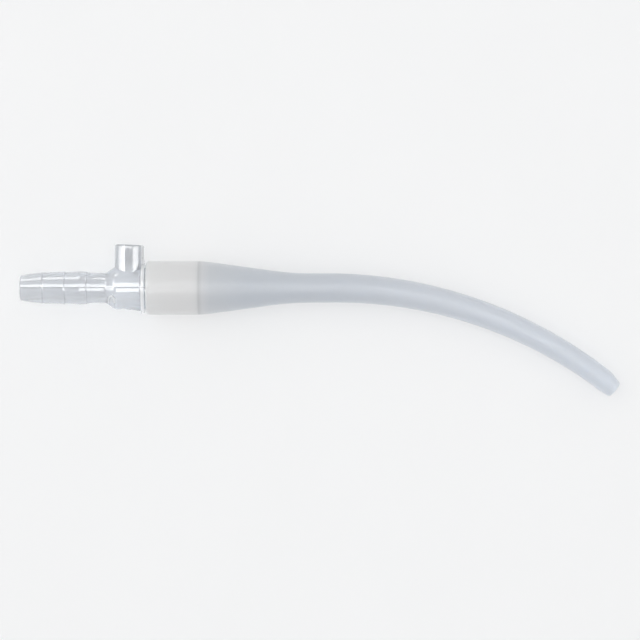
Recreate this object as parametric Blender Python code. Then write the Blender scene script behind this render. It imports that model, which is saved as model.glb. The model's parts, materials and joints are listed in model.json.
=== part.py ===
"""Saliva ejector tip: a clear rigid hose connector with a vent port, and a soft curved tip pushed onto it.

The soft tip is one moulding on the real object. It is modelled as two solids, the socket and the tube, that
meet at a ball-shaped cut round the point where the neck bends, so that the tube can flex.

Every size below is in millimetres. X runs along the connector's axis from its hose end, +Y is the way the
vent port points, and the tube curves towards -Y. The whole object then lies on its side on the ground.
"""

import math

import bmesh
import bpy
from mathutils import Matrix, Vector

MM = 0.001
FULL_TURN = 2 * math.pi

# Hose barb: X, radius and fillet at each corner of its nose, and where each low barb starts, crests and ends
NOSE = ((0.0, 2.75, 0.35), (2.4, 3.16, 3.0), (5.1, 3.43, 0.0))
BARBS = ((5.3, 8.8, 9.9, 3.56), (10.2, 13.6, 14.9, 3.64))
BARB_ROOT_RADIUS = 3.43
BARB_CREST_FILLET = 2.0
BARB_DROP = 0.05
STEM_START = 15.25
STEM_END = 19.0
STEM_RADIUS = 3.34
SHOULDER_FILLET = 1.2

# Body and flange
BODY_START = 20.9
BODY_FLARE_START = 24.5
BODY_RADIUS = 4.70
BODY_END_RADIUS = 5.10
FLANGE_START = 26.75
FLANGE_END = 27.55
FLANGE_RADIUS = 5.50

# Vent port
PORT_X = 24.1
PORT_FOOT = 2.7
PORT_HEIGHT = 9.5
PORT_BASE_RADIUS = 3.26
PORT_RIM_RADIUS = 3.22
PORT_RIM_ROUND = 0.45
PORT_RIM_SLOPE = math.radians(2.5)
PORT_BORE_RADIUS = 1.60
WEB_EDGE = ((27.2, 6.9), (27.4, 6.4), (FLANGE_END, 5.8))  # X and height, from the port's side to the flange
WEB_HALF_WIDTH = 1.4

# Spigot inside the socket, and the connector's bore
SPIGOT_RADIUS = 4.50
SPIGOT_END = 39.6
HOSE_BORE_RADIUS = 1.85
BODY_BORE_RADIUS = 2.30
SPIGOT_BORE_RADIUS = 2.75

# Soft tip's socket and taper
FIT_CLEARANCE = 0.06
END_GAP = 0.30
SOCKET_RADIUS = 5.90
TAPER_START = 40.6
TAPER_START_FILLET = 25.0
NECK_START = 59.8
NECK_FILLET = 60.0
NECK_RADIUS = 3.25
NECK_BORE_RADIUS = 1.95

# Soft tip's tube
BEND_START = 68.8
BEND_RADIUS = 98.7
BEND_ANGLE = math.radians(39.4)
TIP_RADIUS = 2.30
TIP_BORE_RADIUS = 1.35
TIP_NOSE_LENGTH = 2.6
TIP_HOLE_LENGTH = 0.7
TIP_HOLE_RADIUS = 0.95

# Flexing neck: the tube turns about a point on the axis, and the cut is a sphere round it
FLEX_X = 62.5
FLEX_BALL_RADIUS = 5.0
FLEX_GAP = 0.30

# Roundings of the moulded edges
EDGE_ROUND = 0.3
MOUTH_ROUND = 0.5
TIP_ROUND = 1.1
TIP_HOLE_ROUND = 0.2

# Facets
TURN_STEPS = 40
TUBE_STEPS = 32
ARC_STEP = math.radians(22.5)
RING_SPACING = 5.0

CLEAR_PLASTIC = (0.66, 0.70, 0.74, 1.0)
SOFT_PLASTIC = (0.72, 0.75, 0.80, 1.0)


def clear_scene():
    for obj in list(bpy.data.objects):
        bpy.data.objects.remove(obj, do_unlink=True)


def material(name, colour, roughness):
    made = bpy.data.materials.new(name)
    made.use_nodes = True
    shader = made.node_tree.nodes["Principled BSDF"]
    shader.inputs["Base Color"].default_value = colour
    shader.inputs["Roughness"].default_value = roughness
    shader.inputs["Metallic"].default_value = 0.0
    return made


def filleted(corners):
    """The outline through (x, radius, fillet) corners, each corner rounded by an arc of its own fillet."""
    points = []
    for number, (x, radius, fillet) in enumerate(corners):
        corner = Vector((x, radius))
        if fillet == 0:
            points.append(corner)
            continue
        before = Vector(corners[number - 1][:2])
        after = Vector(corners[(number + 1) % len(corners)][:2])
        inward = (before - corner).normalized()
        outward = (after - corner).normalized()
        turn = math.pi - inward.angle(outward)
        reach = fillet * math.tan(turn / 2)
        centre = corner + (inward + outward).normalized() * (fillet / math.cos(turn / 2))
        start = corner + inward * reach - centre
        end = corner + outward * reach - centre
        steps = max(2, math.ceil(turn / ARC_STEP))
        for step in range(steps + 1):
            blend = step / steps
            weights = math.sin((1 - blend) * turn), math.sin(blend * turn)
            points.append(centre + (start * weights[0] + end * weights[1]) / math.sin(turn))
    return points


def ball_arc(ball_radius, radius_from, radius_to, steps=3):
    """Points on the sphere round the flexing point, between two distances from the axis."""
    angle_from = math.asin(radius_from / ball_radius)
    angle_to = math.asin(radius_to / ball_radius)
    points = []
    for step in range(steps + 1):
        angle = angle_from + (angle_to - angle_from) * step / steps
        points.append(Vector((FLEX_X + ball_radius * math.cos(angle), ball_radius * math.sin(angle))))
    return points


def subdivided(outline, spacing):
    """The closed outline with points added so that no side is longer than the spacing."""
    points = []
    for number, point in enumerate(outline):
        following = outline[(number + 1) % len(outline)]
        pieces = max(1, math.ceil((following - point).length / spacing))
        for piece in range(pieces):
            points.append(point.lerp(following, piece / pieces))
    return points


def finished_mesh(shape, name):
    """Closes a bmesh into a mesh whose faces point out."""
    bmesh.ops.remove_doubles(shape, verts=shape.verts, dist=1e-7)
    bmesh.ops.recalc_face_normals(shape, faces=shape.faces)
    mesh = bpy.data.meshes.new(name)
    shape.to_mesh(mesh)
    shape.free()
    return mesh


def turned_mesh(name, outline, steps):
    """The closed outline of (x, radius) points, spun a full turn round the X axis."""
    made = bmesh.new()
    ring = [made.verts.new((point.x * MM, 0.0, point.y * MM)) for point in outline]
    edges = [made.edges.new((ring[number - 1], ring[number])) for number in range(len(ring))]
    bmesh.ops.spin(
        made,
        geom=ring + edges,
        cent=(0.0, 0.0, 0.0),
        axis=(1.0, 0.0, 0.0),
        angle=FULL_TURN,
        steps=steps,
        use_merge=True,
    )
    return finished_mesh(made, name)


def add_object(name, mesh, surface):
    made = bpy.data.objects.new(name, mesh)
    bpy.context.scene.collection.objects.link(made)
    mesh.materials.append(surface)
    mesh.shade_smooth()
    mesh.set_sharp_from_angle(angle=math.radians(32))
    return made


def add_cutter(name, mesh):
    made = bpy.data.objects.new(name, mesh)
    bpy.context.scene.collection.objects.link(made)
    made.hide_render = True
    made.display_type = "WIRE"
    return made


def add_boolean(target, other, operation):
    modifier = target.modifiers.new(other.name, "BOOLEAN")
    modifier.operation = operation
    modifier.solver = "EXACT"
    modifier.object = other


def barb_corners():
    corners = []
    for root_x, crest_x, end_x, crest_radius in BARBS:
        corners.append((root_x, BARB_ROOT_RADIUS, 0))
        corners.append((crest_x, crest_radius, BARB_CREST_FILLET))
        corners.append((end_x, crest_radius - BARB_DROP, EDGE_ROUND))
    return corners


def connector_outline():
    """The turned shape: barb, stem, body, flange and spigot outside, and the stepped bore inside."""
    outside = [
        *NOSE,
        *barb_corners(),
        (STEM_START, STEM_RADIUS, EDGE_ROUND),
        (STEM_END, STEM_RADIUS, SHOULDER_FILLET),
        (BODY_START, BODY_RADIUS, SHOULDER_FILLET),
        (BODY_FLARE_START, BODY_RADIUS, 0),
        (FLANGE_START, BODY_END_RADIUS, EDGE_ROUND),
        (FLANGE_START, FLANGE_RADIUS, EDGE_ROUND),
        (FLANGE_END, FLANGE_RADIUS, EDGE_ROUND),
        (FLANGE_END, SPIGOT_RADIUS, 0),
        (SPIGOT_END, SPIGOT_RADIUS, EDGE_ROUND),
    ]
    bore = [
        (SPIGOT_END, SPIGOT_BORE_RADIUS, EDGE_ROUND),
        (FLANGE_END, SPIGOT_BORE_RADIUS, 0),
        (FLANGE_START, BODY_BORE_RADIUS, 0),
        (BODY_START, BODY_BORE_RADIUS, 0),
        (STEM_END, HOSE_BORE_RADIUS, 0),
        (0.0, HOSE_BORE_RADIUS, 0),
    ]
    return filleted(outside + bore)


def port_outside():
    """The vent port as a solid round post, its rim rounded and sloping towards the tip."""
    height = PORT_HEIGHT - PORT_FOOT
    post = bmesh.new()
    bmesh.ops.create_cone(
        post,
        cap_ends=True,
        segments=TUBE_STEPS,
        radius1=PORT_BASE_RADIUS * MM,
        radius2=PORT_RIM_RADIUS * MM,
        depth=height * MM,
    )
    rim = [edge for edge in post.edges if min(vertex.co.z for vertex in edge.verts) > 0]
    bmesh.ops.bevel(post, geom=rim, offset=PORT_RIM_ROUND * MM, segments=3, profile=0.5, affect="EDGES")
    bmesh.ops.rotate(post, verts=post.verts, matrix=Matrix.Rotation(-math.pi / 2, 3, "X"))
    bmesh.ops.translate(post, verts=post.verts, vec=(0.0, (PORT_FOOT + height / 2) * MM, 0.0))
    for vertex in post.verts:
        if vertex.co.y > (PORT_FOOT + height / 2) * MM:
            vertex.co.y -= vertex.co.x * math.tan(PORT_RIM_SLOPE)
    bmesh.ops.translate(post, verts=post.verts, vec=(PORT_X * MM, 0.0, 0.0))
    return finished_mesh(post, "port_outside")


def port_bore():
    """The drill for the vent, from the body's bore out past the rim."""
    length = 1.1 * PORT_HEIGHT
    drill = bmesh.new()
    bmesh.ops.create_cone(
        drill,
        cap_ends=True,
        segments=TUBE_STEPS,
        radius1=PORT_BORE_RADIUS * MM,
        radius2=PORT_BORE_RADIUS * MM,
        depth=length * MM,
    )
    bmesh.ops.rotate(drill, verts=drill.verts, matrix=Matrix.Rotation(-math.pi / 2, 3, "X"))
    bmesh.ops.translate(drill, verts=drill.verts, vec=(PORT_X * MM, length / 2 * MM, 0.0))
    return finished_mesh(drill, "port_bore")


def port_web():
    """The small web that joins the vent port's side to the flange."""
    inner_x = PORT_X + PORT_BORE_RADIUS
    corners = [(inner_x, PORT_FOOT), (inner_x, WEB_EDGE[0][1]), *WEB_EDGE, (FLANGE_END, PORT_FOOT)]
    web = bmesh.new()
    front = [web.verts.new((x * MM, y * MM, -WEB_HALF_WIDTH * MM)) for x, y in corners]
    face = web.faces.new(front)
    grown = bmesh.ops.extrude_face_region(web, geom=[face])
    back = [item for item in grown["geom"] if isinstance(item, bmesh.types.BMVert)]
    bmesh.ops.translate(web, verts=back, vec=(0.0, 0.0, 2 * WEB_HALF_WIDTH * MM))
    return finished_mesh(web, "port_web")


def add_connector(surface):
    turned = turned_mesh("hose_connector", connector_outline(), TURN_STEPS)
    connector = add_object("hose_connector", turned, surface)
    add_boolean(connector, add_cutter("port_outside", port_outside()), "UNION")
    add_boolean(connector, add_cutter("port_web", port_web()), "UNION")
    add_boolean(connector, add_cutter("port_bore", port_bore()), "DIFFERENCE")
    return connector


def socket_outline():
    """The soft tip's socket and taper, as far as the ball-shaped end that the tube flexes round."""
    mouth = FLANGE_END + END_GAP
    socket_bore = SPIGOT_RADIUS + FIT_CLEARANCE
    shoulder = SPIGOT_END + END_GAP
    outside = [
        (mouth, SOCKET_RADIUS, MOUTH_ROUND),
        (TAPER_START, SOCKET_RADIUS, TAPER_START_FILLET),
        (NECK_START, NECK_RADIUS, NECK_FILLET),
    ]
    ball = [(point.x, point.y, 0) for point in ball_arc(FLEX_BALL_RADIUS, NECK_RADIUS, NECK_BORE_RADIUS)]
    bore = [
        (NECK_START, NECK_BORE_RADIUS, NECK_FILLET),
        (shoulder, SPIGOT_BORE_RADIUS, 0),
        (shoulder, socket_bore, 0),
        (mouth, socket_bore, EDGE_ROUND),
    ]
    return filleted(outside + ball + bore)


def tube_outline():
    """The soft tip's tube before it is bent: X is the distance along its centre line."""
    end = BEND_START + BEND_RADIUS * BEND_ANGLE
    ball_radius = FLEX_BALL_RADIUS + FLEX_GAP
    ball = [(point.x, point.y, 0) for point in ball_arc(ball_radius, NECK_BORE_RADIUS, NECK_RADIUS)]
    length = [
        (BEND_START, NECK_RADIUS, 0),
        (end, TIP_RADIUS, TIP_ROUND),
        (end, TIP_HOLE_RADIUS, TIP_HOLE_ROUND),
        (end - TIP_HOLE_LENGTH, TIP_HOLE_RADIUS, 0),
        (end - TIP_NOSE_LENGTH, TIP_BORE_RADIUS, 0),
        (BEND_START, NECK_BORE_RADIUS, 0),
    ]
    return subdivided(filleted(ball + length), RING_SPACING)


def bend(mesh):
    """Carries each point past the start of the bend round the bend's arc, which curves towards -Y."""
    for vertex in mesh.vertices:
        along = vertex.co.x / MM - BEND_START
        if along <= 0:
            continue
        angle = along / BEND_RADIUS
        reach = BEND_RADIUS * MM + vertex.co.y
        vertex.co.x = BEND_START * MM + reach * math.sin(angle)
        vertex.co.y = reach * math.cos(angle) - BEND_RADIUS * MM


def add_soft_tip(surface):
    socket_mesh = turned_mesh("soft_tip_socket", socket_outline(), TURN_STEPS)
    socket = add_object("soft_tip_socket", socket_mesh, surface)
    tube_mesh = turned_mesh("soft_tip_tube", tube_outline(), TUBE_STEPS)
    bend(tube_mesh)
    tube = add_object("soft_tip_tube", tube_mesh, surface)
    return socket, tube


def add_empty(name, parent, x):
    """An empty on the barrel's axis, at a distance from the hose end."""
    made = bpy.data.objects.new(name, None)
    made.empty_display_size = 5 * MM
    made.location = (x * MM, 0.0, 0.0)
    made.parent = parent
    bpy.context.scene.collection.objects.link(made)
    return made


def put_on(obj, parent, x):
    """Parents an object to an empty at this X, its points moved so that its origin is at the empty."""
    obj.data.transform(Matrix.Translation((-x * MM, 0.0, 0.0)))
    obj.parent = parent


def lowest_and_middle(objects):
    """The middle of the objects' box in X and Y, and their lowest Z, as they lie."""
    graph = bpy.context.evaluated_depsgraph_get()
    points = []
    for obj in objects:
        evaluated = obj.evaluated_get(graph)
        points += [evaluated.matrix_world @ vertex.co for vertex in evaluated.data.vertices]
    xs = [point.x for point in points]
    ys = [point.y for point in points]
    return (min(xs) + max(xs)) / 2, (min(ys) + max(ys)) / 2, min(point.z for point in points)


def rest_pitch():
    """How far the barrel's axis dips towards the tip, with the socket and the tip's end on the ground."""
    tip_x = BEND_START + BEND_RADIUS * math.sin(BEND_ANGLE)
    return math.atan2(SOCKET_RADIUS - TIP_RADIUS, tip_x - TAPER_START)


def build():
    clear_scene()
    clear_plastic = material("clear_plastic", CLEAR_PLASTIC, 0.08)
    soft_plastic = material("soft_plastic", SOFT_PLASTIC, 0.35)
    barrel = add_empty("barrel_axis", None, 0.0)
    swivel = add_empty("tip_swivel", barrel, FLANGE_END)
    flex = add_empty("tip_flex", swivel, FLEX_X - FLANGE_END)
    connector = add_connector(clear_plastic)
    for obj in [connector] + [modifier.object for modifier in connector.modifiers]:
        put_on(obj, barrel, 0.0)
    socket, tube = add_soft_tip(soft_plastic)
    put_on(socket, swivel, FLANGE_END)
    put_on(tube, flex, FLEX_X)
    barrel.rotation_euler = (0.0, rest_pitch(), 0.0)
    bpy.context.view_layer.update()
    middle_x, middle_y, lowest = lowest_and_middle([connector, socket, tube])
    barrel.location = (-middle_x, -middle_y, -lowest)


build()
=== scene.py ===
"""Saliva ejector tip, seen from straight above on a pale floor: a clear hose connector with a vent port, and
a soft milky curved tip pushed onto it.

Both pieces are modelled in millimetres along the connector's own axis (X from the hose end, +Y the way the
vent port points, and 0 on the axis), and BARREL then carries them into the frame.
"""

import json
import math

import bmesh
import bpy
from mathutils import Matrix, Vector


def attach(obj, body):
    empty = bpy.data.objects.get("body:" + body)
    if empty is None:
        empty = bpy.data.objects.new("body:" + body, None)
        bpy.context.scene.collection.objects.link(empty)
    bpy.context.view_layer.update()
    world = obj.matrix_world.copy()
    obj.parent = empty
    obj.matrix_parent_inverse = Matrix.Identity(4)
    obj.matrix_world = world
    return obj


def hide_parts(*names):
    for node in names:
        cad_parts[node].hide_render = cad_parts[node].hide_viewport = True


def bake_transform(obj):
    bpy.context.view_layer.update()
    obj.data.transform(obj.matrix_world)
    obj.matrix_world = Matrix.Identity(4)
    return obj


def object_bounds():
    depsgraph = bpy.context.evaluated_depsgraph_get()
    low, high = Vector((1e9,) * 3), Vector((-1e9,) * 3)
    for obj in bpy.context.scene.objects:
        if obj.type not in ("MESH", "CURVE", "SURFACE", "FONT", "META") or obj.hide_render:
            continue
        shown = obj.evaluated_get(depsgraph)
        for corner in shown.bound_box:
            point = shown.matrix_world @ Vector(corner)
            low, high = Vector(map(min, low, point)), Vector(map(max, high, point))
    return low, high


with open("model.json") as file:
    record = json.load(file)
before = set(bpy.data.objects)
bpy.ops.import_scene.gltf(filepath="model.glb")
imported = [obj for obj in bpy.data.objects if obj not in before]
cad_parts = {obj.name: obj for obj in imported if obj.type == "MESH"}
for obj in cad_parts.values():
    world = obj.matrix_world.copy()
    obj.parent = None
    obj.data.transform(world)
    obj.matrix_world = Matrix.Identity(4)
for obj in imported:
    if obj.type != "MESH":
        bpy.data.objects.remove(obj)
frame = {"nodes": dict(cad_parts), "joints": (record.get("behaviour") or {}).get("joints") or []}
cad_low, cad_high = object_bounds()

MM = 0.001
JOINTS = {joint["name"]: joint for joint in frame["joints"]}
AXIS_X = Vector(JOINTS["tip_swivel"]["axis"]).normalized()
AXIS_Z = Vector(JOINTS["tip_flex"]["axis"]).normalized()
AXIS_Y = AXIS_Z.cross(AXIS_X).normalized()

# Hose barb: X, radius and fillet at each corner of the nose and its groove, then of the two low barbs
NOSE = (
    (0.0, 2.75, 0.35),
    (2.4, 3.16, 3.0),
    (4.85, 3.43, 0.1),
    (5.05, 3.37, 0.05),
    (5.25, 3.44, 0.1),
)
BARBS = (
    (8.8, 3.54, 3.0),
    (9.8, 3.56, 0.05),
    (9.95, 3.46, 0.05),
    (10.6, 3.47, 1.0),
    (13.3, 3.65, 3.0),
    (14.55, 3.56, 0.2),
    (14.75, 3.46, 0.08),
    (14.95, 3.44, 0.1),
)
STEM_START = 15.6
STEM_END = 19.0
STEM_RADIUS = 3.34

# Body, flange and spigot, and the bore through them. The flare and ripple start where the surface faces away
# from the port by FLARE_FACING (1 is straight away from it). A point less than BODY_SKIN under BODY_RADIUS
# counts as the outside, and a deeper one as the bore.
BODY_START = 20.9
BODY_RADIUS = 4.70
BODY_SKIN = 0.4
BODY_FLARE_START = 22.8
BODY_FLARE = 0.42
BODY_RIPPLE = 0.05
BODY_RIPPLE_RATE = 2.6
FLARE_FACING = 0.55
FLARE_FACING_RANGE = 0.4
FLANGE_START = 26.75
FLANGE_END = 27.55
FLANGE_RADIUS = 5.50
SPIGOT_RADIUS = 4.50
SPIGOT_END = 39.6
HOSE_BORE_RADIUS = 1.85
BODY_BORE_RADIUS = 2.30
SPIGOT_BORE_RADIUS = 2.75

# Vent port
PORT_X = 24.1
PORT_FOOT = 2.7
PORT_HEIGHT = 9.5
PORT_BASE_RADIUS = 3.26
PORT_RIM_RADIUS = 3.22
PORT_RIM_ROUND = 0.45
PORT_BORE_RADIUS = 1.60
PORT_RIM_SLOPE = math.radians(2.5)
PORT_SLOPE_POWER = 4
DRILL_PAST_RIM = 0.6
DRILL_TAPER = 0.05
COUNTERSINK_DEPTH = 0.3
COUNTERSINK_REACH = 0.25

# Web between the vent port and the flange: heights from the axis, and X where it ends inside the flange. Its
# edge is part quarter wave and part straight.
WEB_FOOT = 3.3
WEB_TOP = 6.9
WEB_LOW = 5.8
WEB_END = 27.43
WEB_ROOT = 2.2
WEB_OVERLAP = 0.2
WEB_HALF_WIDTH = 1.5
WEB_STEPS = 10
WEB_WAVE_SHARE = 0.55
WEB_STRAIGHT_SHARE = 0.45

# Gate mark: a thin raised arch low on the shoulder
GATE_X = 20.3
GATE_HALF_WIDTH = 0.7
GATE_TOP_Y = -1.85
GATE_FOOT_Y = -3.3
GATE_SQUARENESS = 0.6
GATE_THICKNESS = 0.20
GATE_STEPS = 28
GATE_SIDES = 12

# Soft tip
SOCKET_CLEARANCE = 0.06
END_GAP = 0.30
SOCKET_RADIUS = 5.90
TAPER_START = 40.6
NECK_START = 59.8
NECK_RADIUS = 3.25
NECK_BORE_RADIUS = 1.95
BEND_START = 68.8
BEND_RADIUS = 98.7
BEND_ANGLE = math.radians(39.4)
TIP_END = BEND_START + BEND_RADIUS * BEND_ANGLE
TIP_NOSE = 3.0
TIP_NOSE_RADIUS = 2.42
TIP_RADIUS = 1.88
TIP_LEAN = 0.20
TIP_LEAN_REACH = 4.6
TIP_BORE_RADIUS = 1.35
TIP_HOLE_RADIUS = 0.95
TIP_HOLE_LENGTH = 0.7
TIP_BORE_END = 2.6

# The clear plastic's painted light and shade: the fine dark lines of painted shade round the barb (X, and the
# share of the light kept there), the shares kept elsewhere (over 1 is paler, painted light on the body and
# flange), and the painted shade along the line where the two halves of the mould met and up the vent port
BARB_PAINTED_SHADE_LINES = ((5.05, 0.80), (9.9, 0.82), (14.8, 0.82))
BARB_LINE_HALF_WIDTH = 0.04
BARB_LINE_REACH = 0.16
# Painted light: the body is painted paler, and the flange paler still as a painted highlight
BODY_PAINTED_LIGHT = 1.13
FLANGE_PAINTED_HIGHLIGHT = 1.22
FLANGE_FADE = 0.15
SHADED_LENGTH = 28.0
PARTING_PAINTED_SHADE = 0.62
PARTING_RANGE = (-1.0, 1.0)
PORT_PAINTED_SHADE = 0.78
PORT_SHADE_RANGE = (3.0, 6.0)

# Where faces count as the flange's rim or the gate mark, which get a painted highlight, a paler copy of the
# clear plastic: how far they stand above the body or the shoulder, and margins round the gate mark and at the
# flange's end
PALE_FLANGE_LIFT = 0.1
PALE_END_MARGIN = 0.01
PALE_GATE_LIFT = 0.03
PALE_GATE_MARGIN_X = 0.5
PALE_GATE_MARGIN_Y = 0.3

# The soft plastic's colour at distances along its centre line, with painted light and shade: painted paler
# and neutral where the spigot backs it, a fine dark line of painted shade at the spigot's end, then bluish
MILKY_START = 27.0
MILKY_LENGTH = 110.0
MILKY_COLOURS_AND_PAINTED_LIGHT = (
    (27.8, (0.86, 0.86, 0.855)),
    (28.3, (0.83, 0.83, 0.825)),
    (38.0, (0.82, 0.82, 0.82)),
    (39.3, (0.78, 0.785, 0.79)),
    (39.5, (0.58, 0.59, 0.60)),
    (39.75, (0.58, 0.59, 0.60)),
    (39.95, (0.72, 0.73, 0.745)),
    (40.4, (0.72, 0.73, 0.75)),
    (42.0, (0.665, 0.69, 0.72)),
    (50.0, (0.63, 0.665, 0.71)),
    (70.0, (0.65, 0.685, 0.735)),
    (90.0, (0.70, 0.735, 0.79)),
    (136.0, (0.75, 0.80, 0.88)),
)

# Fineness of the meshes: steps round each turned shape, longest side of its outline, and arcs of fillets
CONNECTOR_STEPS = 160
CONNECTOR_SPACING = 0.6
PORT_STEPS = 96
PORT_SPACING = 0.8
TIP_STEPS = 120
TIP_SPACING = 0.9
ARC_STEP = math.radians(6)
ARC_LEAST_STEPS = 4
MERGE_DISTANCE = 1e-5

# Degrees between faces above which an edge stays sharp
CONNECTOR_SHARP = 35
TIP_SHARP = 40
TOOL_SHARP = 30

# In metres: how high the two overhead panels hang, and where the gap between them is. The gap shows as the
# dark line in the connector's long reflection.
PANEL_HEIGHT = 0.457
PANEL_GAP_Y = 0.0124

# Panels seen in the gloss only: name, centre in metres, tilt in degrees, width and height in metres, radiance
GLOSS_PANELS = (
    ("overhead_far", (-0.13, PANEL_GAP_Y + 0.134, PANEL_HEIGHT), (0, 0, 0), (0.66, 0.20), 7.0),
    ("overhead_near", (0.038, PANEL_GAP_Y - 0.108, PANEL_HEIGHT), (0, 0, 0), (0.256, 0.159), 8.0),
    ("low_strip", (-0.272, 0.60, 0.187), (-90, 0, 0), (0.36, 0.206), 6.0),
    ("tip_strip", (0.40, 0.62, 0.26), (-78, 0, -32), (0.5, 0.10), 5.0),
    ("left_panel", (-0.55, 0.012, 0.44), (0, -90, 0), (0.87, 0.16), 7.0),
    ("left_wall", (-0.70, 0.30, 0.76), (0, -90, 0), (0.70, 0.9), 6.0),
    ("right_panel", (0.45, 0.012, 0.49), (0, 90, 0), (0.76, 0.16), 9.0),
)

# The even surround's colour on the side that the tube curves towards, and on the other side
SURROUND_CURVE_SIDE = (0.80, 0.805, 0.815, 1.0)
SURROUND_PORT_SIDE = (0.84, 0.84, 0.84, 1.0)

CAMERA_DISTANCE = 0.6
CAMERA_WIDTH_SHARE = 0.9393
FLOOR_HALF_SIZE = 5.0


def hose_end():
    """The point where the connector's axis leaves its hose end."""
    pivot = Vector(JOINTS["tip_swivel"]["pos_m"])
    vertices = frame["nodes"]["hose_connector"].data.vertices
    return pivot + AXIS_X * min((vertex.co - pivot).dot(AXIS_X) for vertex in vertices)


HOSE_END = hose_end()
TURN = Matrix((AXIS_X, AXIS_Y, AXIS_Z)).transposed().to_4x4()
BARREL = Matrix.Translation(HOSE_END) @ TURN @ Matrix.Scale(MM, 4)


def smooth(value):
    """Rises gently from 0 to 1 as the value does, and stays level outside."""
    value = min(1.0, max(0.0, value))
    return value * value * (3 - 2 * value)


def filleted(corners):
    """The outline through (x, radius, fillet) corners, each corner rounded by an arc of its own fillet."""
    points = []
    for number, (x, radius, fillet) in enumerate(corners):
        corner = Vector((x, radius))
        if fillet == 0:
            points.append(corner)
            continue
        before = Vector(corners[number - 1][:2])
        after = Vector(corners[(number + 1) % len(corners)][:2])
        inward = (before - corner).normalized()
        outward = (after - corner).normalized()
        turn = math.pi - inward.angle(outward)
        reach = fillet * math.tan(turn / 2)
        centre = corner + (inward + outward).normalized() * (fillet / math.cos(turn / 2))
        start = corner + inward * reach - centre
        end = corner + outward * reach - centre
        steps = max(ARC_LEAST_STEPS, math.ceil(turn / ARC_STEP))
        for step in range(steps + 1):
            blend = step / steps
            weights = math.sin((1 - blend) * turn), math.sin(blend * turn)
            points.append(centre + (start * weights[0] + end * weights[1]) / math.sin(turn))
    return points


def subdivided(outline, spacing):
    """The closed outline with points added so that no side is longer than the spacing."""
    points = []
    for number, point in enumerate(outline):
        following = outline[(number + 1) % len(outline)]
        pieces = max(1, math.ceil((following - point).length / spacing))
        for piece in range(pieces):
            points.append(point.lerp(following, piece / pieces))
    return points


def turned(outline, steps, raised=None):
    """A bmesh turned round the X axis: 0 degrees is +Y and 90 degrees is +Z. raised(point, angle) says how
    much further out than its outline a point is."""
    shape = bmesh.new()
    rings = []
    for step in range(steps):
        angle = math.tau * step / steps
        ring = []
        for point in outline:
            radius = point.y + (raised(point, angle) if raised else 0.0)
            ring.append(shape.verts.new((point.x, radius * math.cos(angle), radius * math.sin(angle))))
        rings.append(ring)
    for number, ring in enumerate(rings):
        following = rings[(number + 1) % len(rings)]
        for index in range(len(outline)):
            after = (index + 1) % len(outline)
            shape.faces.new((ring[index], ring[after], following[after], following[index]))
    bmesh.ops.recalc_face_normals(shape, faces=shape.faces)
    return shape


def add_piece(name, shape, sharp_degrees):
    """An object of this name from a bmesh in the connector's own millimetres."""
    mesh = bpy.data.meshes.new(name)
    shape.to_mesh(mesh)
    shape.free()
    mesh.transform(BARREL)
    mesh.shade_smooth()
    mesh.set_sharp_from_angle(angle=math.radians(sharp_degrees))
    piece = bpy.data.objects.new(name, mesh)
    bpy.context.scene.collection.objects.link(piece)
    return piece


def connector_outline():
    """The connector's section: the outside as far as the spigot's end, then back along the bore."""
    outside = [
        (0.0, HOSE_BORE_RADIUS, 0.12),
        *NOSE,
        *BARBS,
        (STEM_START, STEM_RADIUS, 0.3),
        (STEM_END, STEM_RADIUS, 1.2),
        (BODY_START, BODY_RADIUS, 1.8),
        (FLANGE_START - 0.1, BODY_RADIUS, 0.3),
        (FLANGE_START, FLANGE_RADIUS, 0.45),
        (FLANGE_END, FLANGE_RADIUS, 0.2),
        (FLANGE_END, SPIGOT_RADIUS, 0.15),
        (SPIGOT_END, SPIGOT_RADIUS, 0.4),
    ]
    bore = [
        (SPIGOT_END, SPIGOT_BORE_RADIUS, 0.3),
        (FLANGE_END, SPIGOT_BORE_RADIUS, 0.4),
        (FLANGE_START, BODY_BORE_RADIUS, 0.4),
        (BODY_START, BODY_BORE_RADIUS, 0.4),
        (STEM_END, HOSE_BORE_RADIUS, 0.4),
    ]
    return subdivided(filleted(outside + bore), CONNECTOR_SPACING)


def body_flare(point, angle):
    """The body's slight flare and ripple on the side away from the vent port."""
    if not (BODY_START < point.x < FLANGE_START and point.y > BODY_RADIUS - BODY_SKIN):
        return 0.0
    along = smooth((point.x - BODY_FLARE_START) / (FLANGE_START - BODY_FLARE_START))
    from_start = point.x - BODY_START
    ripple = BODY_RIPPLE * math.sin(from_start * BODY_RIPPLE_RATE) * smooth(from_start)
    facing_away = smooth((-math.cos(angle) - FLARE_FACING) / FLARE_FACING_RANGE)
    return (BODY_FLARE * along + ripple) * facing_away


def upright(shape):
    """Stands a shape turned round the X axis on the connector, as the vent port stands."""
    bmesh.ops.rotate(shape, verts=shape.verts, matrix=Matrix.Rotation(math.pi / 2, 3, "Z"))
    bmesh.ops.translate(shape, verts=shape.verts, vec=(PORT_X, 0.0, 0.0))


def port_shape():
    """The vent port's post, with a rounded, sloping rim. Its bore is still narrow, and is drilled later."""
    corners = [
        (PORT_FOOT, PORT_BASE_RADIUS, 0),
        (PORT_HEIGHT, PORT_RIM_RADIUS, PORT_RIM_ROUND),
        (PORT_HEIGHT, PORT_BORE_RADIUS / 2, 0),
        (PORT_FOOT, PORT_BORE_RADIUS / 2, 0),
    ]
    shape = turned(subdivided(filleted(corners), PORT_SPACING), PORT_STEPS)
    for vertex in shape.verts:
        rise = max(0.0, vertex.co.x - PORT_FOOT) / (PORT_HEIGHT - PORT_FOOT)
        vertex.co.x += vertex.co.y * math.tan(PORT_RIM_SLOPE) * rise**PORT_SLOPE_POWER
    upright(shape)
    return shape


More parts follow.
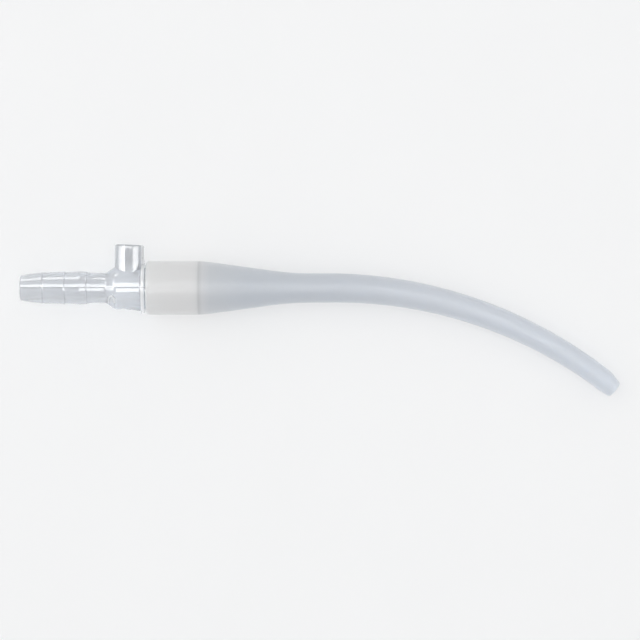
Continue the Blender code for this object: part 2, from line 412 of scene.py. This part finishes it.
def drill_shape():
    """The vent's bore, with a small countersink at the rim."""
    top = PORT_HEIGHT + DRILL_PAST_RIM
    corners = [
        (0.0, 0.0, 0),
        (0.0, PORT_BORE_RADIUS - DRILL_TAPER, 0),
        (PORT_HEIGHT - COUNTERSINK_DEPTH, PORT_BORE_RADIUS, 0.2),
        (PORT_HEIGHT, PORT_BORE_RADIUS + COUNTERSINK_REACH, 0.2),
        (top, PORT_BORE_RADIUS + COUNTERSINK_REACH + DRILL_TAPER, 0),
        (top, 0.0, 0),
    ]
    shape = turned(filleted(corners), PORT_STEPS)
    bmesh.ops.remove_doubles(shape, verts=shape.verts, dist=MERGE_DISTANCE)
    upright(shape)
    return shape


def web_shape():
    """The small curved web between the vent port's side and the flange."""
    side = PORT_X + PORT_BASE_RADIUS - WEB_OVERLAP
    corners = [(PORT_X + WEB_ROOT, WEB_FOOT), (PORT_X + WEB_ROOT, WEB_TOP)]
    for step in range(WEB_STEPS + 1):
        share = step / WEB_STEPS
        wave = 1 - math.cos(share * math.pi / 2)
        across = wave * WEB_WAVE_SHARE + share * WEB_STRAIGHT_SHARE
        corners.append((side + (WEB_END - side) * across, WEB_TOP + (WEB_LOW - WEB_TOP) * share))
    corners.append((WEB_END, WEB_FOOT))
    shape = bmesh.new()
    front = [shape.verts.new((x, y, -WEB_HALF_WIDTH)) for x, y in corners]
    grown = bmesh.ops.extrude_face_region(shape, geom=[shape.faces.new(front)])
    back = [item for item in grown["geom"] if isinstance(item, bmesh.types.BMVert)]
    bmesh.ops.translate(shape, verts=back, vec=(0.0, 0.0, 2 * WEB_HALF_WIDTH))
    bmesh.ops.recalc_face_normals(shape, faces=shape.faces)
    return shape


def shoulder_radius(x):
    """The radius of the cone between the stem and the body, without its fillets."""
    share = (x - STEM_END) / (BODY_START - STEM_END)
    return STEM_RADIUS + (BODY_RADIUS - STEM_RADIUS) * min(1.0, max(0.0, share))


def gate_mark_path():
    """Points along the arch, on the shoulder's surface."""
    path = []
    for step in range(GATE_STEPS + 1):
        angle = math.pi * (step / GATE_STEPS)
        x = GATE_X - GATE_HALF_WIDTH * math.cos(angle)
        y = GATE_FOOT_Y + (GATE_TOP_Y - GATE_FOOT_Y) * math.sin(angle) ** GATE_SQUARENESS
        path.append(Vector((x, y, math.sqrt(shoulder_radius(x) ** 2 - y**2))))
    return path


def gate_mark_shape():
    """The small raised arch on the shoulder, left by the mould: a thin rod half sunk in the surface."""
    path = gate_mark_path()
    shape = bmesh.new()
    rings = []
    for number, point in enumerate(path):
        ahead = (path[min(number + 1, GATE_STEPS)] - path[max(number - 1, 0)]).normalized()
        side = ahead.cross(Vector((0.0, point.y, point.z)).normalized()).normalized()
        up = side.cross(ahead)
        ring = []
        for corner in range(GATE_SIDES):
            angle = math.tau * corner / GATE_SIDES
            outward = side * math.cos(angle) + up * math.sin(angle)
            ring.append(shape.verts.new(point + GATE_THICKNESS * outward))
        rings.append(ring)
    for near, far in zip(rings, rings[1:]):
        for corner in range(GATE_SIDES):
            after = (corner + 1) % GATE_SIDES
            shape.faces.new((near[corner], near[after], far[after], far[corner]))
    shape.faces.new(rings[0])
    shape.faces.new(rings[-1])
    bmesh.ops.recalc_face_normals(shape, faces=shape.faces)
    return shape


def apply_booleans(piece, tools):
    """Joins or cuts the piece by each (tool shape, operation) in turn, and leaves a plain mesh."""
    helpers = []
    for number, (shape, operation) in enumerate(tools):
        helper = add_piece(f"helper_{number}", shape, TOOL_SHARP)
        modifier = piece.modifiers.new(f"tool_{number}", "BOOLEAN")
        modifier.operation = operation
        modifier.solver = "EXACT"
        modifier.object = helper
        helpers.append(helper)
    graph = bpy.context.evaluated_depsgraph_get()
    final = bpy.data.meshes.new_from_object(piece.evaluated_get(graph))
    piece.modifiers.clear()
    piece.data = final
    final.name = piece.name
    for helper in helpers:
        bpy.data.objects.remove(helper, do_unlink=True)


def add_connector():
    """The turned connector, with the port, web and gate mark joined to it and the vent's bore drilled."""
    shape = turned(connector_outline(), CONNECTOR_STEPS, body_flare)
    piece = add_piece("clear_hose_connector", shape, CONNECTOR_SHARP)
    tools = [
        (port_shape(), "UNION"),
        (web_shape(), "UNION"),
        (gate_mark_shape(), "UNION"),
        (drill_shape(), "DIFFERENCE"),
    ]
    apply_booleans(piece, tools)
    piece.data.set_sharp_from_angle(angle=math.radians(CONNECTOR_SHARP))
    return piece


def tip_outline():
    """The whole soft tip's section before it is bent: X is the distance along its centre line."""
    mouth = FLANGE_END + END_GAP
    shoulder = SPIGOT_END + END_GAP
    socket_bore = SPIGOT_RADIUS + SOCKET_CLEARANCE
    corners = [
        (mouth, SOCKET_RADIUS, 0.5),
        (TAPER_START, SOCKET_RADIUS, 25.0),
        (NECK_START, NECK_RADIUS, 60.0),
        (BEND_START, NECK_RADIUS, 90.0),
        (TIP_END - TIP_NOSE, TIP_NOSE_RADIUS, 7.0),
        (TIP_END, TIP_RADIUS, 0.8),
        (TIP_END, TIP_HOLE_RADIUS, 0.2),
        (TIP_END - TIP_HOLE_LENGTH, TIP_HOLE_RADIUS, 0.4),
        (TIP_END - TIP_BORE_END, TIP_BORE_RADIUS, 1.0),
        (NECK_START, NECK_BORE_RADIUS, 60.0),
        (shoulder, SPIGOT_BORE_RADIUS, 0.3),
        (shoulder, socket_bore, 0.2),
        (mouth, socket_bore, 0.25),
    ]
    return subdivided(filleted(corners), TIP_SPACING)


def bent(shape):
    """Carries each point past the start of the bend round the bend's arc, which curves towards -Y."""
    for vertex in shape.verts:
        along = vertex.co.x - BEND_START
        if along <= 0:
            continue
        angle = along / BEND_RADIUS
        reach = BEND_RADIUS + vertex.co.y
        vertex.co.x = BEND_START + reach * math.sin(angle)
        vertex.co.y = reach * math.cos(angle) - BEND_RADIUS


def add_soft_tip():
    """The soft tip, with each point's distance along the centre line kept as the attribute "along"."""
    shape = turned(tip_outline(), TIP_STEPS)
    layer = shape.verts.layers.float.new("along")
    for vertex in shape.verts:
        vertex[layer] = vertex.co.x
        vertex.co.y -= TIP_LEAN * smooth((vertex.co.x - TIP_END + TIP_LEAN_REACH) / TIP_LEAN_REACH)
    bent(shape)
    return add_piece("soft_tip", shape, TIP_SHARP)


class Nodes:
    """Builds one material's node tree: add a node, and link sockets by name."""

    def __init__(self, name):
        self.material = bpy.data.materials.new(name)
        self.material.use_nodes = True
        self.tree = self.material.node_tree
        self.shader = self.tree.nodes["Principled BSDF"]
        self.output = self.tree.nodes["Material Output"]

    def add(self, kind, **values):
        node = self.tree.nodes.new(kind)
        for name, value in values.items():
            if name in node.inputs:
                node.inputs[name].default_value = value
            else:
                setattr(node, name, value)
        return node

    def link(self, source, target):
        self.tree.links.new(source, target)

    def set(self, **values):
        for name, value in values.items():
            self.shader.inputs[name.replace("_", " ")].default_value = value

    def noise(self, vector, scale, detail):
        node = self.add("ShaderNodeTexNoise", Scale=scale, Detail=detail)
        self.link(vector, node.inputs["Vector"])
        return node.outputs["Fac"]

    def mapped(self, value, source, target=(0.0, 1.0)):
        """Carries the value from the source range to the target range, and no further than its ends."""
        node = self.add("ShaderNodeMapRange")
        for name, number in zip(("From Min", "From Max", "To Min", "To Max"), (*source, *target)):
            node.inputs[name].default_value = number
        self.link(value, node.inputs["Value"])
        return node.outputs["Result"]

    def ramp(self, value, stops):
        node = self.add("ShaderNodeValToRGB")
        elements = node.color_ramp.elements
        while len(elements) < len(stops):
            elements.new(0.5)
        for element, (position, colour) in zip(elements, stops):
            element.position = position
            element.color = (*colour, 1.0)
        self.link(value, node.inputs["Fac"])
        return node.outputs["Color"]

    def distance(self, place, axis):
        """Millimetres from the hose end along this axis of the connector."""
        offset = self.add("ShaderNodeVectorMath", operation="SUBTRACT")
        offset.inputs[1].default_value = HOSE_END
        self.link(place, offset.inputs[0])
        along = self.add("ShaderNodeVectorMath", operation="DOT_PRODUCT")
        along.inputs[1].default_value = axis / MM
        self.link(offset.outputs["Vector"], along.inputs[0])
        return along.outputs["Value"]

    def summed(self, first, second):
        node = self.add("ShaderNodeMath", operation="ADD")
        self.link(first, node.inputs[0])
        self.link(second, node.inputs[1])
        return node.outputs["Value"]

    def multiplied(self, first, second):
        node = self.add("ShaderNodeMix", data_type="RGBA", blend_type="MULTIPLY")
        node.inputs["Factor"].default_value = 1.0
        self.link(first, node.inputs["A"])
        self.link(second, node.inputs["B"])
        return node.outputs["Result"]

    def bump(self, heights):
        """Chains bumps, each from a height, a distance in metres and a strength, and links the last one to
        the shader."""
        normal = None
        for height, distance, strength in heights:
            node = self.add("ShaderNodeBump", Distance=distance, Strength=strength)
            self.link(height, node.inputs["Height"])
            if normal is not None:
                self.link(normal, node.inputs["Normal"])
            normal = node.outputs["Normal"]
        self.link(normal, self.shader.inputs["Normal"])

    def absorb(self, colour, density):
        """Takes light away with the distance travelled inside, so that thick places and edges look darker."""
        volume = self.add("ShaderNodeVolumeAbsorption", Density=density)
        volume.inputs["Color"].default_value = (*colour, 1.0)
        self.link(volume.outputs["Volume"], self.output.inputs["Volume"])

    def pass_shadow_rays(self, colour):
        """Lets lamps through for shadow rays, tinted by this colour each time a surface is crossed."""
        clear = self.add("ShaderNodeBsdfTransparent")
        clear.inputs["Color"].default_value = (*colour, 1.0)
        chosen = self.add("ShaderNodeMixShader")
        light_path = self.add("ShaderNodeLightPath")
        self.link(light_path.outputs["Is Shadow Ray"], chosen.inputs["Fac"])
        self.link(self.shader.outputs["BSDF"], chosen.inputs[1])
        self.link(clear.outputs["BSDF"], chosen.inputs[2])
        self.link(chosen.outputs["Shader"], self.output.inputs["Surface"])


def grey_stops(stops):
    """Ramp stops in grey, from (position, share of the light kept) pairs."""
    return [(position, (keep, keep, keep)) for position, keep in stops]


def painted_light_and_shade_stops():
    """How much light each place along the connector keeps, over SHADED_LENGTH, as painted light and shade: a
    fine dark line of painted shade at each drop of the barb, and a body and flange painted paler as painted
    light."""
    stops = [(0.0, 1.0)]
    for line, shade in BARB_PAINTED_SHADE_LINES:
        stops += [
            (line - BARB_LINE_REACH, 1.0),
            (line - BARB_LINE_HALF_WIDTH, shade),
            (line + BARB_LINE_HALF_WIDTH, shade),
            (line + BARB_LINE_REACH, 1.0),
        ]
    stops += [(STEM_END, 1.0), (BODY_START, BODY_PAINTED_LIGHT), (FLANGE_START, BODY_PAINTED_LIGHT)]
    stops += [(FLANGE_START + FLANGE_FADE, FLANGE_PAINTED_HIGHLIGHT), (FLANGE_END, FLANGE_PAINTED_HIGHLIGHT)]
    return grey_stops((place / SHADED_LENGTH, keep) for place, keep in stops)


def parting_line_shade_stops():
    """The line where the two halves of the mould met, over 1 mm on each side of the axis: a real line,
    painted dark as painted shade.
    """
    return grey_stops(((0.0, 1.0), (0.46, 1.0), (0.48, PARTING_PAINTED_SHADE), (0.52, PARTING_PAINTED_SHADE), (0.54, 1.0)))


def clear_plastic(name, clearness):
    """Hard clear plastic with a faint blue cast. Shadow rays pass it, so that its shadow stays pale."""
    nodes = Nodes(name)
    place = nodes.add("ShaderNodeTexCoord").outputs["Object"]
    flow = nodes.noise(place, scale=220.0, detail=2.0)
    fine = nodes.noise(place, scale=2600.0, detail=5.0)
    tint = nodes.ramp(flow, [(0.3, (0.80, 0.81, 0.825)), (0.7, (0.815, 0.825, 0.84))])
    along = nodes.distance(place, AXIS_X)
    # Painted shade at each drop of the barb, and painted light on the body and the flange
    lines = nodes.ramp(nodes.mapped(along, (0.0, SHADED_LENGTH)), painted_light_and_shade_stops())
    across = nodes.distance(place, AXIS_Y)
    # Painted shade along the mould's parting line
    parting = nodes.ramp(nodes.mapped(across, PARTING_RANGE), parting_line_shade_stops())
    # Painted shade: the vent port is painted darker from 3 mm to 6 mm off the axis and beyond
    port_shade_stops = grey_stops(((0.0, 1.0), (1.0, PORT_PAINTED_SHADE)))
    port = nodes.ramp(nodes.mapped(across, PORT_SHADE_RANGE), port_shade_stops)
    tint = nodes.multiplied(tint, port)
    tint = nodes.multiplied(nodes.multiplied(tint, lines), parting)
    nodes.link(tint, nodes.shader.inputs["Base Color"])
    roughness = nodes.mapped(fine, (0.35, 0.75), (0.0, 0.02))
    nodes.link(roughness, nodes.shader.inputs["Roughness"])
    nodes.bump([(flow, 0.0003, 0.03)])
    nodes.set(IOR=1.55, Transmission_Weight=clearness)
    nodes.absorb((0.72, 0.76, 0.81), density=120.0)
    nodes.pass_shadow_rays((0.85, 0.87, 0.89))
    return nodes.material


def milky_colour_and_light_stops():
    """The soft plastic's colour along its length, with its painted light and shade, as ramp stops over
    MILKY_LENGTH.
    """
    return [((place - MILKY_START) / MILKY_LENGTH, colour) for place, colour in MILKY_COLOURS_AND_PAINTED_LIGHT]


def milky_plastic():
    """Soft translucent plastic: painted paler where the spigot stands inside it, as painted light, bluish
    beyond.
    """
    nodes = Nodes("milky_plastic")
    place = nodes.add("ShaderNodeTexCoord").outputs["Object"]
    along = nodes.add("ShaderNodeAttribute", attribute_name="along").outputs["Fac"]
    share = nodes.mapped(along, (MILKY_START, MILKY_START + MILKY_LENGTH))
    nodes.link(nodes.ramp(share, milky_colour_and_light_stops()), nodes.shader.inputs["Base Color"])
    cloud = nodes.noise(place, scale=160.0, detail=3.0)
    grain = nodes.noise(place, scale=4200.0, detail=4.0)
    socket_to_tube = nodes.mapped(share, (0.10, 0.20), (0.58, 0.56))
    unevenness = nodes.mapped(cloud, (0.3, 0.7), (-0.03, 0.03))
    nodes.link(nodes.summed(socket_to_tube, unevenness), nodes.shader.inputs["Roughness"])
    nodes.bump([(cloud, 0.0003, 0.06), (grain, 0.00003, 0.10)])
    nodes.set(IOR=1.46, Transmission_Weight=0.2, Subsurface_Weight=1.0, Subsurface_Scale=0.002)
    nodes.set(Subsurface_Radius=(1.0, 1.0, 1.0), Sheen_Weight=0.5, Sheen_Roughness=0.4)
    nodes.set(Coat_Weight=0.08, Coat_Roughness=0.06, Coat_IOR=1.46)
    return nodes.material


def floor_material():
    """Plain pale matt floor that glows a little, so that shadows on it stay faint."""
    nodes = Nodes("pale_floor")
    place = nodes.add("ShaderNodeTexCoord").outputs["Object"]
    mottle = nodes.noise(place, scale=30.0, detail=6.0)
    tint = nodes.ramp(mottle, [(0.3, (0.565, 0.568, 0.57)), (0.7, (0.575, 0.578, 0.58))])
    nodes.link(tint, nodes.shader.inputs["Base Color"])
    nodes.set(Roughness=0.7, Specular_IOR_Level=0.2)
    nodes.set(Emission_Color=(1.0, 1.0, 1.0, 1.0), Emission_Strength=0.36)
    return nodes.material


def dress(piece, surface):
    """Gives the piece this material."""
    piece.data.materials.clear()
    piece.data.materials.append(surface)


def paint_edge_highlights(piece, surface):
    """Gives the flange's rim and the gate mark a painted highlight: a less clear copy of the clear plastic,
    so that they look almost white, as thin raised edges that gather light do."""
    piece.data.materials.append(surface)
    inverse = BARREL.inverted()
    for face in piece.data.polygons:
        x, y, z = inverse @ face.center
        radius = math.hypot(y, z)
        in_flange_x = FLANGE_START < x < FLANGE_END - PALE_END_MARGIN
        on_flange = in_flange_x and radius > BODY_RADIUS + PALE_FLANGE_LIFT
        in_gate_x = abs(x - GATE_X) < GATE_HALF_WIDTH + PALE_GATE_MARGIN_X
        in_gate_y = GATE_FOOT_Y - PALE_GATE_MARGIN_Y < y < GATE_TOP_Y + PALE_GATE_MARGIN_Y
        raised = z > 0 and radius > shoulder_radius(x) + PALE_GATE_LIFT
        if on_flange or (in_gate_x and in_gate_y and raised):
            face.material_index = 1


def add_floor():
    """A wide floor under the object, which isn't part of it."""
    shape = bmesh.new()
    bmesh.ops.create_grid(shape, x_segments=8, y_segments=8, size=FLOOR_HALF_SIZE)
    mesh = bpy.data.meshes.new("floor")
    shape.to_mesh(mesh)
    shape.free()
    mesh.materials.append(floor_material())
    floor = bpy.data.objects.new("floor", mesh)
    bpy.context.scene.collection.objects.link(floor)


def add_panel(name, centre, tilt, size, radiance, fills):
    """A soft light panel of this even brightness. One that doesn't fill is seen in the gloss only."""
    width, height = size
    data = bpy.data.lights.new(name, "AREA")
    data.shape = "RECTANGLE"
    data.size = width
    data.size_y = height
    data.energy = math.pi * width * height * radiance
    light = bpy.data.objects.new(name, data)
    light.location = centre
    light.rotation_euler = [math.radians(degrees) for degrees in tilt]
    light.visible_camera = False
    light.visible_diffuse = fills
    light.visible_transmission = fills
    bpy.context.scene.collection.objects.link(light)


def add_lights():
    """The gloss panels overhead and at the sides, and one wide dim panel above that lights everything."""
    for name, centre, tilt, size, radiance in GLOSS_PANELS:
        add_panel(name, centre, tilt, size, radiance, fills=False)
    add_panel("soft_top", (0.0, 0.0, 1.2), (0, 0, 0), (1.2, 0.9), 0.30, fills=True)


def add_world():
    """An even pale surround, a little darker on the side that the tube curves towards."""
    world = bpy.data.worlds.new("studio")
    world.use_nodes = True
    bpy.context.scene.world = world
    tree = world.node_tree
    place = tree.nodes.new("ShaderNodeTexCoord").outputs["Generated"]
    split = tree.nodes.new("ShaderNodeSeparateXYZ")
    tree.links.new(place, split.inputs["Vector"])
    ramp = tree.nodes.new("ShaderNodeValToRGB")
    ramp.color_ramp.elements[0].color = SURROUND_CURVE_SIDE
    ramp.color_ramp.elements[1].color = SURROUND_PORT_SIDE
    scale = tree.nodes.new("ShaderNodeMapRange")
    scale.inputs["From Min"].default_value = -1.0
    scale.inputs["From Max"].default_value = 1.0
    tree.links.new(split.outputs["Y"], scale.inputs["Value"])
    tree.links.new(scale.outputs["Result"], ramp.inputs["Fac"])
    background = tree.nodes["Background"]
    tree.links.new(ramp.outputs["Color"], background.inputs["Color"])
    background.inputs["Strength"].default_value = 1.0


def add_camera():
    """Straight above the plane of the curve, with the object filling nearly all of the picture's width."""
    data = bpy.data.cameras.new("camera")
    data.lens = CAMERA_DISTANCE * data.sensor_width * CAMERA_WIDTH_SHARE / (cad_high.x - cad_low.x)
    camera = bpy.data.objects.new("camera", data)
    centre = (cad_low + cad_high) / 2
    camera.matrix_world = Matrix.Translation(centre + AXIS_Z * CAMERA_DISTANCE) @ TURN
    bpy.context.scene.collection.objects.link(camera)
    bpy.context.scene.camera = camera


bpy.context.scene.view_settings.view_transform = "Standard"
add_floor()
add_world()
add_lights()
add_camera()

connector = add_connector()
dress(connector, clear_plastic("clear_plastic", 0.6))
# Painted highlight on the flange's rim and the gate mark
paint_edge_highlights(connector, clear_plastic("clear_plastic_painted_highlight", 0.15))
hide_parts("hose_connector")
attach(connector, "connector")

soft_tip = add_soft_tip()
dress(soft_tip, milky_plastic())
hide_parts("soft_tip_socket", "soft_tip_tube")
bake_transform(soft_tip)
